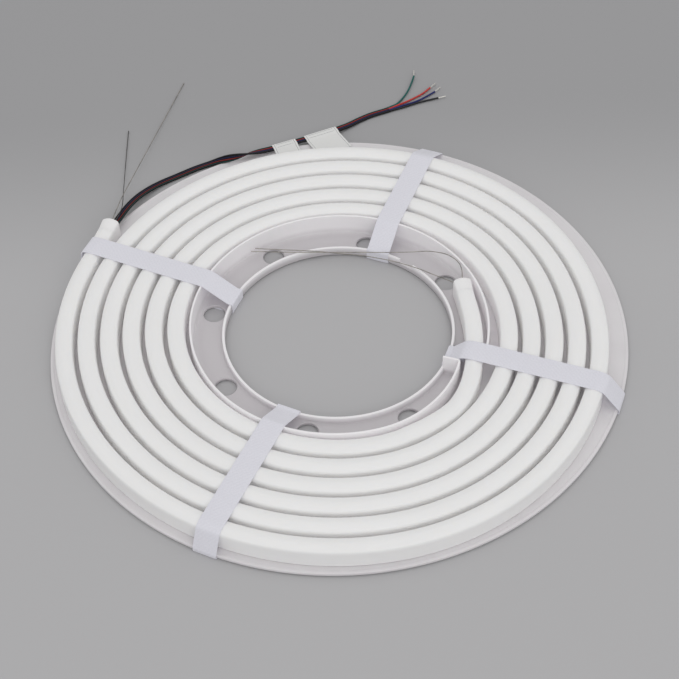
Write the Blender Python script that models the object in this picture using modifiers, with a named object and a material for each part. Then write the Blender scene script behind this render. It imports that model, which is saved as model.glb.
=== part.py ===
# A reel of waterproof LED light strip: a flat moulded reel, one length of domed
# silicone strip wound flat on it, an end cap on each end, a flat four-core lead
# with two labels, four stiff wires and four fabric strap loops that hold the coil.
# Metres, +Z up. The origin is the reel's centre, at the level the straps rest on.

import bpy
import bmesh
from math import ceil, cos, floor, radians, sin
from mathutils import Matrix, Vector

MM = 0.001

# Reel
STRAP_THICK = 0.6
SEAT_GAP = 0.3                      # clearance between pieces that rest on each other
REEL_Z = STRAP_THICK + SEAT_GAP     # underside of the reel
FLANGE_THICK = 1.9
FLANGE_MARGIN = 3.85                # flange left free outside the outermost turn
LIP_WIDTH = 2.4
LIP_RISE = 0.3
HOLE_R = 76.2
RIM_THICK = 1.8
RIM_HEIGHT = 6.7
RIM_TOP = REEL_Z + RIM_HEIGHT
CHANNEL_WIDTH = 19.6                # open floor between the rim and the hub wall
HUB_THICK = 1.6
HUB_MID_R = HOLE_R + RIM_THICK + CHANNEL_WIDTH + HUB_THICK / 2
HUB_BELOW_CROWN = 0.1               # how far the hub wall stays below the strip's crown
HUB_FREE_AZ = 341.5                 # free end of the hub wall, beside the slot
HUB_BEND_AZ = 285.0                 # from here the wall bends in towards the rib
HUB_RIB_AZ = 332.0                  # the radial rib that ends the wall
HUB_BEND_IN = 10.2
HUB_FLARE = 2.6
RIB_THICK = 1.6
FLOOR_HOLE_R = 7.4
FLOOR_HOLE_INSET = 8.8              # from the rim to the holes' centres
FLOOR_HOLE_AZ = 29.9
FLOOR_HOLE_COUNT = 8
NOTCH_AZ = 50.5
NOTCH_WIDTH = 11.0
NOTCH_DEPTH = 3.4

# Strip
STRIP_Z = REEL_Z + FLANGE_THICK + SEAT_GAP
STRIP_BASE_HALF = 6.0
STRIP_SHOULDER_HALF = 5.85
STRIP_SHOULDER = 12.1               # height where the sides turn in
STRIP_TOP_HALF = 5.3
STRIP_CREASE = 13.3                 # height of the crease where the dome starts
STRIP_HEIGHT = 14.9
HUB_TOP = STRIP_Z + STRIP_HEIGHT - HUB_BELOW_CROWN
COIL_START_AZ = 300.0               # the coil is counted clockwise from here
COIL_SLACK = 0.9                    # between the hub wall and the first turn
FIRST_TURN_R = HUB_MID_R + HUB_THICK / 2 + COIL_SLACK + STRIP_BASE_HALF
DRIFT_PER_TURN = 5.9                # slow growth round the turn
STEP_PER_TURN = 9.0                 # growth where the turns cross the slot
STEP_FROM, STEP_TO = 285.0, 380.0
STRIP_END_TURNS = 5.395             # where the outer end leaves the curve
TURN_POINTS = 52                    # sweep points in one turn
TAIL_LENGTH = 29.0                  # straight outer end
WAVES = [(1, 1.23, 305.2), (2, 0.91, 333.0), (3, 0.37, 43.1)]  # waves in a turn, mm, crest

# Caps: how far along, and the size there for a root of 1
CAP_LENGTH = 9.0
CAP_PROUD = 0.3
CAP_PROFILE = [(0.0, 1.0), (0.35, 1.01), (0.75, 1.03), (0.87, 1.015), (0.95, 0.955), (1.0, 0.85)]

# Straps
STRAP_WIDTH = 16.0
STRAP_LIFT = SEAT_GAP + STRAP_THICK / 2
STRAP_BACK_AZ = 67.0
STRAP_LEFT_AZ = 155.0
STRAP_FRONT_AZ = 243.6
STRAP_RIGHT_AZ = 338.6

# Lead, cores and wires
CORE_D = 1.4
LEAD_WIDTH = 4 * CORE_D
TIP_D = 0.9
WIRE_D = 0.6
LABEL_THICK = 0.3


def polar(r, az, z=0.0):
    return Vector((r * cos(radians(az)), r * sin(radians(az)), z))


def smooth(t):
    t = min(max(t, 0.0), 1.0)
    return t * t * (3 - 2 * t)


# Scene and collections
for old in list(bpy.data.objects):
    bpy.data.objects.remove(old, do_unlink=True)

parts = bpy.data.collections.new("waterproof_led_strip")
tools = bpy.data.collections.new("cutters")
for coll in (parts, tools):
    bpy.context.scene.collection.children.link(coll)


def material(name, color, roughness, metallic=0.0):
    mat = bpy.data.materials.new(name)
    mat.use_nodes = True
    shader = mat.node_tree.nodes["Principled BSDF"]
    shader.inputs["Base Color"].default_value = (*color, 1.0)
    shader.inputs["Roughness"].default_value = roughness
    shader.inputs["Metallic"].default_value = metallic
    return mat


REEL_MAT = material("reel_plastic", (0.69, 0.66, 0.68), 0.45)
STRIP_MAT = material("strip_silicone", (0.80, 0.80, 0.79), 0.5)
CAP_MAT = material("cap_silicone", (0.80, 0.79, 0.78), 0.45)
STRAP_MAT = material("strap_fabric", (0.68, 0.67, 0.76), 0.9)
LEAD_MAT = material("lead_black", (0.02, 0.02, 0.03), 0.4)
CORE_MATS = {
    "green": material("core_green", (0.01, 0.19, 0.16), 0.4),
    "red": material("core_red", (0.62, 0.05, 0.04), 0.4),
    "blue": material("core_blue", (0.03, 0.05, 0.22), 0.4),
    "black": material("core_black", (0.02, 0.02, 0.02), 0.4),
}
TIN_MAT = material("tinned_copper", (0.75, 0.73, 0.68), 0.3, 1.0)
WIRE_MAT = material("steel_wire", (0.35, 0.33, 0.30), 0.35, 1.0)
LABEL_MAT = material("label_paper", (0.80, 0.80, 0.78), 0.6)


def add(name, data, mat, coll=parts):
    obj = bpy.data.objects.new(name, data)
    coll.objects.link(obj)
    data.materials.append(mat)
    if coll is tools:
        obj.hide_render = True
        obj.display_type = "WIRE"
    return obj


def modify(obj, kind, **settings):
    mod = obj.modifiers.new(kind.lower(), kind)
    for key, value in settings.items():
        setattr(mod, key, value)
    return mod


def to_mesh(obj):
    """Turn a curve object into a mesh object of the same name, its caps welded."""
    depsgraph = bpy.context.evaluated_depsgraph_get()
    mesh = bpy.data.meshes.new_from_object(obj.evaluated_get(depsgraph))
    bm = bmesh.new()
    bm.from_mesh(mesh)
    bmesh.ops.remove_doubles(bm, verts=bm.verts, dist=0.00001)
    bmesh.ops.recalc_face_normals(bm, faces=bm.faces)
    bm.to_mesh(mesh)
    bm.free()
    name, coll, matrix = obj.name, obj.users_collection[0], obj.matrix_world.copy()
    bpy.data.objects.remove(obj, do_unlink=True)
    new = bpy.data.objects.new(name, mesh)
    coll.objects.link(new)
    new.matrix_world = matrix
    if coll is tools:
        new.hide_render = True
        new.display_type = "WIRE"
    return new


def shade(obj, angle=35):
    obj.data.shade_smooth()
    obj.data.set_sharp_from_angle(angle=radians(angle))
    return obj


def outline(name, loops, half, mat, coll=parts):
    """A flat closed outline, with further loops as holes, given its thickness."""
    curve = bpy.data.curves.new(name, "CURVE")
    curve.dimensions = "2D"
    curve.fill_mode = "BOTH"
    curve.extrude = half * MM
    for loop in loops:
        spline = curve.splines.new("POLY")
        spline.points.add(len(loop) - 1)
        for point, (x, y) in zip(spline.points, loop):
            point.co = (x * MM, y * MM, 0.0, 1.0)
        spline.use_cyclic_u = True
    return add(name, curve, mat, coll)


def swept(name, path, section, mat, radii=None, tilts=None):
    """A closed section (across, up) in mm carried along a path, level with the floor."""
    shape = bpy.data.curves.new(name + "_section", "CURVE")
    shape.dimensions = "2D"
    spline = shape.splines.new("POLY")
    spline.points.add(len(section) - 1)
    for point, (across, up) in zip(spline.points, section):
        point.co = (across * MM, up * MM, 0.0, 1.0)
    spline.use_cyclic_u = True
    shape_obj = add(name + "_section", shape, mat, tools)

    curve = bpy.data.curves.new(name, "CURVE")
    curve.dimensions = "3D"
    curve.twist_mode = "Z_UP"
    curve.bevel_mode = "OBJECT"
    curve.bevel_object = shape_obj
    curve.use_fill_caps = True
    spline = curve.splines.new("POLY")
    spline.points.add(len(path) - 1)
    for i, p in enumerate(path):
        spline.points[i].co = (p[0] * MM, p[1] * MM, p[2] * MM, 1.0)
        spline.points[i].radius = radii[i] if radii else 1.0
        spline.points[i].tilt = radians(tilts[i]) if tilts else 0.0
    obj = to_mesh(add(name, curve, mat))
    bpy.data.objects.remove(shape_obj, do_unlink=True)
    return obj


def through(points, step):
    """A smooth curve through the route points, read every step mm."""
    pts = [Vector(p) for p in points]
    ends = [2 * pts[0] - pts[1]] + pts + [2 * pts[-1] - pts[-2]]
    out = []
    for i in range(1, len(ends) - 2):
        a, b, c, d = ends[i - 1:i + 3]
        n = max(1, ceil((c - b).length / step))
        for k in range(n):
            t = k / n
            out.append(0.5 * ((2 * b) + (c - a) * t + (2 * a - 5 * b + 4 * c - d) * t * t
                              + (3 * b - a - 3 * c + d) * t ** 3))
    out.append(pts[-1])
    return out


def band(points, thick):
    """Both sides of a path of 2D points that is given a thickness."""
    pts = [Vector(p) for p in points]
    sides = ([], [])
    for i, p in enumerate(pts):
        along = (pts[min(i + 1, len(pts) - 1)] - pts[max(i - 1, 0)]).normalized()
        for side, sign in zip(sides, (1, -1)):
            side.append((p.x + along.y * sign * thick / 2, p.y - along.x * sign * thick / 2))
    return sides


def tube(name, path, diameter, mat, resolution=1):
    curve = bpy.data.curves.new(name, "CURVE")
    curve.dimensions = "3D"
    curve.bevel_depth = diameter / 2 * MM
    curve.bevel_resolution = resolution
    curve.use_fill_caps = True
    spline = curve.splines.new("POLY")
    spline.points.add(len(path) - 1)
    for point, p in zip(spline.points, path):
        point.co = (p[0] * MM, p[1] * MM, p[2] * MM, 1.0)
    return shade(to_mesh(add(name, curve, mat)), 60)


# Strip: its centre line, clockwise from COIL_START_AZ
def coil_radius(turns):
    k = floor(turns)
    u = (turns - k) * 360.0
    steps = smooth((u - STEP_FROM) / (STEP_TO - STEP_FROM))
    steps += smooth((u + 360.0 - STEP_FROM) / (STEP_TO - STEP_FROM)) - 1.0
    az = COIL_START_AZ - u
    wave = sum(size * cos(radians(count * (az - crest))) for count, size, crest in WAVES)
    return FIRST_TURN_R + DRIFT_PER_TURN * turns + STEP_PER_TURN * (k + steps) + wave


def coil_point(turns):
    return polar(coil_radius(turns), COIL_START_AZ - 360.0 * turns, STRIP_Z)


def turn_radii(az):
    """Centre-line radii of the turns that cross this direction, inside to outside."""
    first = ((COIL_START_AZ - az) % 360.0) / 360.0
    return [coil_radius(first + k) for k in range(6) if first + k < STRIP_END_TURNS + 0.06]


FLANGE_R = coil_radius(STRIP_END_TURNS) + STRIP_BASE_HALF + FLANGE_MARGIN

# The inner end crosses from the channel to the coil: direction, and inset from the hub wall
INNER_TAIL = [(15.4, 8.9), (9.05, 9.8), (2.6, 9.6), (-5.1, 8.55), (-13.25, 6.75),
              (-21.1, 3.85), (-28.9, 0.15), (-36.2, -3.6), (-43.3, -6.8), (-50.0, -8.4)]


def tail_radius(az):
    """Radius of the inner end's centre line in this direction."""
    for (az_a, inset_a), (az_b, inset_b) in zip(INNER_TAIL, INNER_TAIL[1:]):
        if az_b <= az <= az_a:
            return HUB_MID_R - inset_a - (inset_b - inset_a) * (az_a - az) / (az_a - az_b)


BLEND = 0.03                        # turns between the inner tail and the true coil
path = [polar(HUB_MID_R - inset, az, STRIP_Z) for az, inset in INNER_TAIL]
path = through(path + [coil_point(0.0), coil_point(BLEND)], 9.0)[:-1]
steps = ceil((STRIP_END_TURNS - BLEND) * TURN_POINTS)
for i in range(steps + 1):
    path.append(coil_point(BLEND + (STRIP_END_TURNS - BLEND) * i / steps))
outer_dir = (path[-1] - path[-2]).normalized()
for i in range(1, 5):
    path.append(path[-1] + outer_dir * TAIL_LENGTH / 4)
inner_dir = (path[0] - path[1]).normalized()
strip_length = sum((b - a).length for a, b in zip(path, path[1:]))


def strip_section(grow=0.0):
    """Flat base, nearly upright sides, a shoulder and a crease on each side, a low dome."""
    pts = [(-STRIP_BASE_HALF - grow, 0.0), (STRIP_BASE_HALF + grow, 0.0)]
    pts.append((STRIP_SHOULDER_HALF + grow, STRIP_SHOULDER + grow))
    for k in range(7):
        across = 1 - k / 3
        rise = (STRIP_HEIGHT - STRIP_CREASE) * (1 - across * across)
        pts.append(((STRIP_TOP_HALF + grow) * across, STRIP_CREASE + rise + grow))
    return pts + [(-STRIP_SHOULDER_HALF - grow, STRIP_SHOULDER + grow)]


shade(swept("neon_strip", path, strip_section(), STRIP_MAT), 30)


# End caps: plugs of the strip's outline that flare a little and end in a blunt nose
def end_cap(name, start, direction):
    reach = CAP_LENGTH - SEAT_GAP
    pts = [start + direction * (SEAT_GAP + reach * along) for along, size in CAP_PROFILE]
    radii = [size for along, size in CAP_PROFILE]
    return shade(swept(name, pts, strip_section(CAP_PROUD), CAP_MAT, radii), 40)


end_cap("outer_end_cap", path[-1], outer_dir)
end_cap("inner_end_cap", path[0], inner_dir)


# Reel: flange, lip and inner rim turned in one profile
def turned(name, profile, mat, steps=96):
    mesh = bpy.data.meshes.new(name)
    verts = [(r * MM, 0.0, z * MM) for r, z in profile]
    edges = [(i, (i + 1) % len(verts)) for i in range(len(verts))]
    mesh.from_pydata(verts, edges, [])
    obj = add(name, mesh, mat)
    modify(obj, "SCREW", steps=steps, render_steps=steps, use_merge_vertices=True,
           merge_threshold=0.00001)
    return to_mesh(obj)


floor_top = REEL_Z + FLANGE_THICK
reel = turned("reel", [
    (HOLE_R, RIM_TOP), (HOLE_R + RIM_THICK, RIM_TOP), (HOLE_R + RIM_THICK + 0.3, floor_top),
    (FLANGE_R - LIP_WIDTH, floor_top), (FLANGE_R - LIP_WIDTH + 0.5, floor_top + LIP_RISE),
    (FLANGE_R - 0.4, floor_top + LIP_RISE), (FLANGE_R, floor_top - 0.2),
    (FLANGE_R, REEL_Z), (HOLE_R, REEL_Z)], REEL_MAT, 112)


def hub_radius(az):
    """Mid line of the hub wall: a ring that bends in to the rib and flares at the slot."""
    az = az % 360.0
    if HUB_BEND_AZ < az <= HUB_RIB_AZ + 0.5:
        t = (az - HUB_BEND_AZ) / (HUB_RIB_AZ - HUB_BEND_AZ)
        return HUB_MID_R - HUB_BEND_IN * t ** 1.7
    t = ((60.0 - az) % 360.0) / 76.0
    return HUB_MID_R + (HUB_FLARE * t ** 3 if t <= 1.2 else 0.0)


HUB_STEPS = 84
hub_sweep = 360.0 - HUB_FREE_AZ + HUB_RIB_AZ
hub_mids = []
for i in range(HUB_STEPS + 1):
    az = HUB_FREE_AZ + hub_sweep * i / HUB_STEPS
    hub_mids.append(polar(hub_radius(az), az).xy)
near, far = band(hub_mids, HUB_THICK)
hub_half = (HUB_TOP - floor_top + 1.0) / 2
hub = outline("hub_wall", [near + far[::-1]], hub_half, REEL_MAT, tools)
hub.location.z = (HUB_TOP - hub_half) * MM
bpy.context.view_layer.update()
hub = to_mesh(hub)

rib_in = polar(HOLE_R + 0.6, HUB_RIB_AZ - 1.2)
rib_out = hub_mids[-1].to_3d()
rib_dir = (rib_out - rib_in).normalized()
rib_side = Vector((rib_dir.y, -rib_dir.x, 0.0)) * RIB_THICK / 2
rib_end = rib_out + rib_dir * 0.3
corners = [rib_in + rib_side, rib_end + rib_side, rib_end - rib_side, rib_in - rib_side]
rib = outline("rib", [[(c.x, c.y) for c in corners]], hub_half, REEL_MAT, tools)
rib.location.z = hub.location.z
bpy.context.view_layer.update()
rib = to_mesh(rib)


def cylinder(name, radius, depth, location, verts=28):
    bm = bmesh.new()
    bmesh.ops.create_cone(bm, cap_ends=True, segments=verts, radius1=radius * MM,
                          radius2=radius * MM, depth=depth * MM)
    mesh = bpy.data.meshes.new(name)
    bm.to_mesh(mesh)
    bm.free()
    obj = add(name, mesh, REEL_MAT, tools)
    obj.location = Vector(location) * MM
    return obj


for tool in (hub, rib):
    modify(reel, "BOOLEAN", operation="UNION", object=tool, solver="EXACT")
for k in range(FLOOR_HOLE_COUNT):
    az = FLOOR_HOLE_AZ + k * 360.0 / FLOOR_HOLE_COUNT
    place = polar(HOLE_R + RIM_THICK + FLOOR_HOLE_INSET, az, REEL_Z)
    hole = cylinder(f"floor_hole_{k + 1}", FLOOR_HOLE_R, 4 * FLANGE_THICK, place)
    modify(reel, "BOOLEAN", operation="DIFFERENCE", object=hole, solver="EXACT")
bm = bmesh.new()
bmesh.ops.create_cube(bm, size=1.0)
notch_mesh = bpy.data.meshes.new("rim_notch")
bm.to_mesh(notch_mesh)
bm.free()
notch = add("rim_notch", notch_mesh, REEL_MAT, tools)
notch.scale = (8.0 * MM, NOTCH_WIDTH * MM, 2 * NOTCH_DEPTH * MM)
notch.location = polar(HOLE_R + 1.0, NOTCH_AZ, RIM_TOP) * MM
notch.rotation_euler.z = radians(NOTCH_AZ)
modify(reel, "BOOLEAN", operation="DIFFERENCE", object=notch, solver="EXACT")
shade(reel, 30)


# Strap loops: over the coil, down through the hole and back under the reel
def offset_loop(points, distance):
    out = []
    n = len(points)
    for i in range(n):
        a, b, c = (Vector(points[(i + k) % n]) for k in (-1, 0, 1))
        d1, d2 = (b - a).normalized(), (c - b).normalized()
        n1, n2 = Vector((d1.y, -d1.x)), Vector((d2.y, -d2.x))
        mitre = (n1 + n2).normalized()
        q = b + mitre * distance / max(0.35, mitre.dot(n1))
        out.append((q.x, q.y))
    return out


CROWN = STRIP_Z + STRIP_HEIGHT
SHOULDER = STRIP_Z + STRIP_CREASE


def strap(name, az, tail_r=None, lean=0.0):
    top = CROWN + STRAP_LIFT
    low = STRAP_THICK / 2
    turns = turn_radii(az)
    lip_out = FLANGE_R + STRAP_LIFT
    hole_in = (HOLE_R ** 2 - (STRAP_WIDTH / 2) ** 2) ** 0.5 - STRAP_LIFT
    loop = [(hole_in, low), (hole_in, RIM_TOP + STRAP_LIFT),
            (HOLE_R + RIM_THICK + STRAP_LIFT, RIM_TOP + STRAP_LIFT)]
    if tail_r:
        loop += [(tail_r - STRIP_TOP_HALF - 2.4, SHOULDER + 0.7), (tail_r - 4.0, top - 0.1)]
    else:
        loop += [(HUB_MID_R - HUB_THICK / 2 - 0.5, top - 0.1)]
    last = turns[-1]
    loop += [(last + 1.6, top), (last + STRIP_TOP_HALF * 0.62 + lean, top - 0.6),
             (last + STRIP_TOP_HALF + 0.7 + lean, SHOULDER + 0.35),
             (lip_out, floor_top + LIP_RISE + 0.4), (lip_out, low)]
    loops = [offset_loop(loop, STRAP_THICK / 2), offset_loop(loop, -STRAP_THICK / 2)]
    obj = outline(name, loops, STRAP_WIDTH / 2, STRAP_MAT)
    obj.rotation_euler = (radians(90.0), 0.0, radians(az))
    bpy.context.view_layer.update()
    return to_mesh(obj)


strap("strap_back", STRAP_BACK_AZ)
strap("strap_left", STRAP_LEFT_AZ, lean=2.0)
strap("strap_front", STRAP_FRONT_AZ)
strap("strap_right", STRAP_RIGHT_AZ, tail_r=tail_radius(STRAP_RIGHT_AZ - 360.0), lean=1.1)

# Lead: a flat ribbon of four cores, half twisted where it climbs onto the flange
nose = path[-1] + outer_dir * CAP_LENGTH
LEAD_EXIT = Vector((nose.x, nose.y, STRIP_Z + 5.4)) + outer_dir * SEAT_GAP
LEAD_ROUTE = [(-150.0, 124.3, 7.3), (-146.3, 132.4, 6.1), (-142.5, 139.3, 4.9),
              (-138.4, 145.3, 3.7), (-133.1, 151.5, 2.5), (-126.8, 157.1, 1.6),
              (-121.2, 161.0, 1.15), (-114.9, 164.7, 1.0), (-108.8, 168.2, 1.0),
              (-102.8, 171.6, 1.0), (-96.9, 174.4, 1.1), (-90.4, 176.7, 1.6),
              (-84.2, 177.4, 3.4), (-77.6, 176.6, 5.9), (-71.4, 177.7, 6.4),
              (-65.2, 179.2, 6.6), (-57.2, 181.9, 6.2), (-49.8, 184.5, 5.5),
              (-43.1, 187.0, 5.0)]
LABEL_LINE = [(-43.1, 187.0, 5.0), (-25.7, 193.8, 4.7), (-19.0, 196.5, 4.5), (5.2, 208.3, 2.6)]
LEAD_END = [(14.9, 214.4, 1.5), (23.6, 220.6, 1.0), (32.2, 225.4, 0.95), (42.9, 229.6, 0.95),
            (46.0, 231.0, 0.95)]
lead_path = through([LEAD_EXIT, LEAD_EXIT + outer_dir * 4.0] + LEAD_ROUTE, 9.0)
for a, b in zip(LABEL_LINE, LABEL_LINE[1:]):
    a, b = Vector(a), Vector(b)
    n = ceil((b - a).length / 10.0)
    lead_path += [a.lerp(b, (k + 1) / n) for k in range(n)]
lead_path += through([LABEL_LINE[-1]] + LEAD_END, 9.0)[1:]

TWIST_FROM, TWIST_TO = 101.0, 147.0  # mm along the lead where the half twist lies
run, tilts = 0.0, []
for i, p in enumerate(lead_path):
    run += (p - lead_path[i - 1]).length if i else 0.0
    tilts.append(180.0 * smooth((run - TWIST_FROM) / (TWIST_TO - TWIST_FROM)))
w, h = LEAD_WIDTH / 2, CORE_D / 2
lead_section = [(-w, -h * 0.4), (-w + 0.4, -h), (w - 0.4, -h), (w, -h * 0.4),
                (w, h * 0.4), (w - 0.4, h), (-w + 0.4, h), (-w, h * 0.4)]
shade(swept("lead", lead_path, lead_section, LEAD_MAT, tilts=tilts), 40)

# Cores: the last of each core, free of the ribbon, ending in a tinned tip
CORE_ROUTES = {
    "green": [(53.3, 238.2, 1.0), (60.1, 248.4, 1.2), (64.7, 259.8, 1.5), (67.4, 269.0, 1.8)],
    "red": [(54.2, 236.2, 1.0), (62.7, 241.0, 1.0), (72.5, 247.8, 1.1), (79.2, 254.6, 1.3)],
    "blue": [(57.0, 235.0, 1.0), (67.6, 239.3, 1.0), (76.2, 245.0, 1.0), (82.6, 249.8, 1.2)],
    "black": [(57.0, 232.6, 1.0), (66.4, 236.6, 1.0), (75.1, 239.6, 1.0), (84.6, 242.0, 1.2)],
}
CORE_TIPS = {"green": (67.9, 275.6, 2.0), "red": (83.6, 259.4, 1.5),
             "blue": (87.0, 254.6, 1.4), "black": (90.4, 243.4, 1.4)}
lead_dir = (lead_path[-1] - lead_path[-2]).normalized()
lead_across = Vector((-lead_dir.y, lead_dir.x, 0.0)).normalized()
for k, color in enumerate(("green", "red", "blue", "black")):
    start = lead_path[-1] + lead_dir * SEAT_GAP + lead_across * (1.5 - k) * (CORE_D + 0.12)
    core = through([start, start + lead_dir * 2.5] + CORE_ROUTES[color], 4.5)
    tube("core_" + color, core, CORE_D, CORE_MATS[color])
    tip = Vector(CORE_TIPS[color])
    toward = (tip - core[-1]).normalized()
    tube("tip_" + color, [core[-1] + toward * 0.1, tip], TIP_D, TIN_MAT)


# Labels: each folded round the lead, its free part hanging towards the coil
def label(name, start, end, flag):
    start, end = Vector(start), Vector(end)
    back = (start - end).normalized()
    across = Vector((-back.y, back.x, 0.0)).normalized()
    up = back.cross(across)
    w_in, h_in = LEAD_WIDTH / 2 + SEAT_GAP, CORE_D / 2 + SEAT_GAP
    w_out, h_out = w_in + LABEL_THICK, h_in + LABEL_THICK
    inner = [(-w_in, -h_in), (-w_in, h_in), (w_in, h_in), (w_in, -h_in)]
    low, high = band([(w_out - 0.05, flag[0])] + flag[1], LABEL_THICK)
    outer = [(-w_out, -h_out), (w_out, -h_out), (w_out, low[0][1])] + low[1:]
    outer += high[:0:-1] + [(w_out, high[0][1]), (w_out, h_out), (-w_out, h_out)]
    obj = outline(name, [outer, inner], (end - start).length / 2, LABEL_MAT)
    mid = (start + end) / 2 * MM
    obj.matrix_world = Matrix(((across.x, up.x, back.x, mid.x), (across.y, up.y, back.y, mid.y),
                               (across.z, up.z, back.z, mid.z), (0, 0, 0, 1)))
    bpy.context.view_layer.update()
    return to_mesh(obj)


SMALL_FLAG = (0.2, [(6.0, -0.3), (9.5, -0.6)])
LARGE_FLAG = (0.0, [(8.0, 0.4), (14.5, 1.0), (19.0, 1.3), (24.0, 1.5)])
label("cable_label_small", LABEL_LINE[0], LABEL_LINE[1], SMALL_FLAG)
label("cable_label_flag", LABEL_LINE[2], LABEL_LINE[3], LARGE_FLAG)

# Wires: thin and springy, two from each cap
outer_face = nose + outer_dir * SEAT_GAP
inner_nose = path[0] + inner_dir * CAP_LENGTH
inner_face = inner_nose + inner_dir * SEAT_GAP
outer_side = Vector((outer_dir.y, -outer_dir.x, 0.0))
inner_side = Vector((inner_dir.y, -inner_dir.x, 0.0))
WIRES = {
    "outer_wire_1": [outer_face + outer_side * 0.6 + Vector((0.0, 0.0, 8.2)),
                     (-152.3, 124.0, 9.4), (-152.8, 148.2, 5.0), (-153.5, 184.8, 1.6),
                     (-153.6, 219.1, 0.5)],
    "outer_wire_2": [outer_face - outer_side * 1.6 + Vector((0.0, 0.0, 8.4)),
                     (-152.9, 134.8, 9.5), (-144.6, 167.7, 5.5), (-129.4, 220.5, 2.0),
                     (-113.0, 273.8, 0.6)],
    "inner_wire_1": [inner_face + inner_side * 0.8 + Vector((0.0, 0.0, 8.6)),
                     (86.0, 42.6, 16.0), (83.8, 48.4, 17.2), (80.4, 53.2, 16.8),
                     (76.4, 57.9, 15.5), (70.5, 61.6, 14.0), (64.0, 64.4, 12.5),
                     (50.8, 65.8, 11.0), (35.5, 67.0, 10.4), (17.4, 69.0, 9.6),
                     (0.0, 70.6, 8.9), (-31.5, 72.3, 9.2), (-58.8, 74.4, 9.6)],
    "inner_wire_2": [inner_face - inner_side * 1.2 + Vector((0.0, 0.0, 7.4)),
                     (67.9, 43.4, 10.0), (54.8, 52.7, 8.8), (37.9, 58.7, 10.6),
                     (18.7, 65.6, 9.6), (3.4, 69.9, 8.2), (-13.3, 73.2, 8.2),
                     (-34.9, 75.5, 8.6), (-55.9, 77.7, 9.0)],
}
for name, points in WIRES.items():
    tube(name, through(points, 14.0), WIRE_D, WIRE_MAT)

# Put every cutter where the build leaves it out
for obj in list(tools.objects):
    obj.hide_render = True
    obj.hide_set(True)
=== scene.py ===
# %% [markdown]
# # A roll of waterproof LED strip
# Five metres of domed silicone strip lie on an open moulded reel, held by four tape loops.
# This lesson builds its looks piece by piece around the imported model, which gives every size
# and place. Lengths are in millimetres until a curve or mesh is made, where MM turns them
# into metres.

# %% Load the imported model
from math import ceil, cos, degrees, floor, pi, radians, sin, sqrt

import bmesh
import bpy
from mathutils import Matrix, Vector


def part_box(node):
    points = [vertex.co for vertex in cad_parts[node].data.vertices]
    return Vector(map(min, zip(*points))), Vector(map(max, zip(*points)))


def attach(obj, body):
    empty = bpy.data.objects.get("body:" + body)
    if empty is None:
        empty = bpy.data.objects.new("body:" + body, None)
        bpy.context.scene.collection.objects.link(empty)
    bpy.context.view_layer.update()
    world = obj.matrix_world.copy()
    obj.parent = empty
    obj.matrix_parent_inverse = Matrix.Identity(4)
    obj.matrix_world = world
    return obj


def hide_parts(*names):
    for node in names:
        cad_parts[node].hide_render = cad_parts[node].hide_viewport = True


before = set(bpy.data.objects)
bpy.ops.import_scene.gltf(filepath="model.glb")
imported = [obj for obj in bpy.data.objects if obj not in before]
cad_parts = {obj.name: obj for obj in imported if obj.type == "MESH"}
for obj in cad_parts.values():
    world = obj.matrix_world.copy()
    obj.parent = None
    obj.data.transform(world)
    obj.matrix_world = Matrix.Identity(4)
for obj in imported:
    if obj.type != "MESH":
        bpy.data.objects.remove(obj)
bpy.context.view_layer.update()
MM = 0.001
print("packed pieces:", len(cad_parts))


def box_mm(node):
    low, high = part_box(node)
    return Vector(low) / MM, Vector(high) / MM


# %% [markdown]
# ## Camera
# The roll was photographed from in front and above with a long lens, tilted a little to one
# side. A camera is easiest to place from the directions it has: forward, then level, then
# turned by the roll. The same three vectors are the columns of its matrix.

# %% Camera
EYE = Vector((0.0, -0.7352, 0.8143))
PITCH, YAW, ROLL = radians(48.05), radians(0.04), radians(-2.37)
LENS = 86.36

forward = Vector((sin(YAW) * cos(PITCH), cos(YAW) * cos(PITCH), -sin(PITCH)))
level = Vector((cos(YAW), -sin(YAW), 0.0))
above = level.cross(forward)
right = level * cos(ROLL) + above * sin(ROLL)
up = above * cos(ROLL) - level * sin(ROLL)

camera_data = bpy.data.cameras.new("camera")
camera_data.lens = LENS
camera_data.sensor_width = 36.0
camera_data.clip_start = 0.05
camera = bpy.data.objects.new("camera", camera_data)
bpy.context.scene.collection.objects.link(camera)
for row in range(3):
    camera.matrix_world[row][:] = (right[row], up[row], -forward[row], EYE[row])
bpy.context.scene.camera = camera
print("camera looks down", round(degrees(PITCH), 1), "degrees through", LENS, "mm")

# %% [markdown]
# ## Node trees as Python sums
# A finish or a Geometry Nodes tree is a sum of small steps. Wrapping a socket in a class with
# the usual operators lets a step be written as it is thought, such as 1 - mask, and every
# operator adds the Math node that it stands for. All other nodes come from one method.


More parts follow.
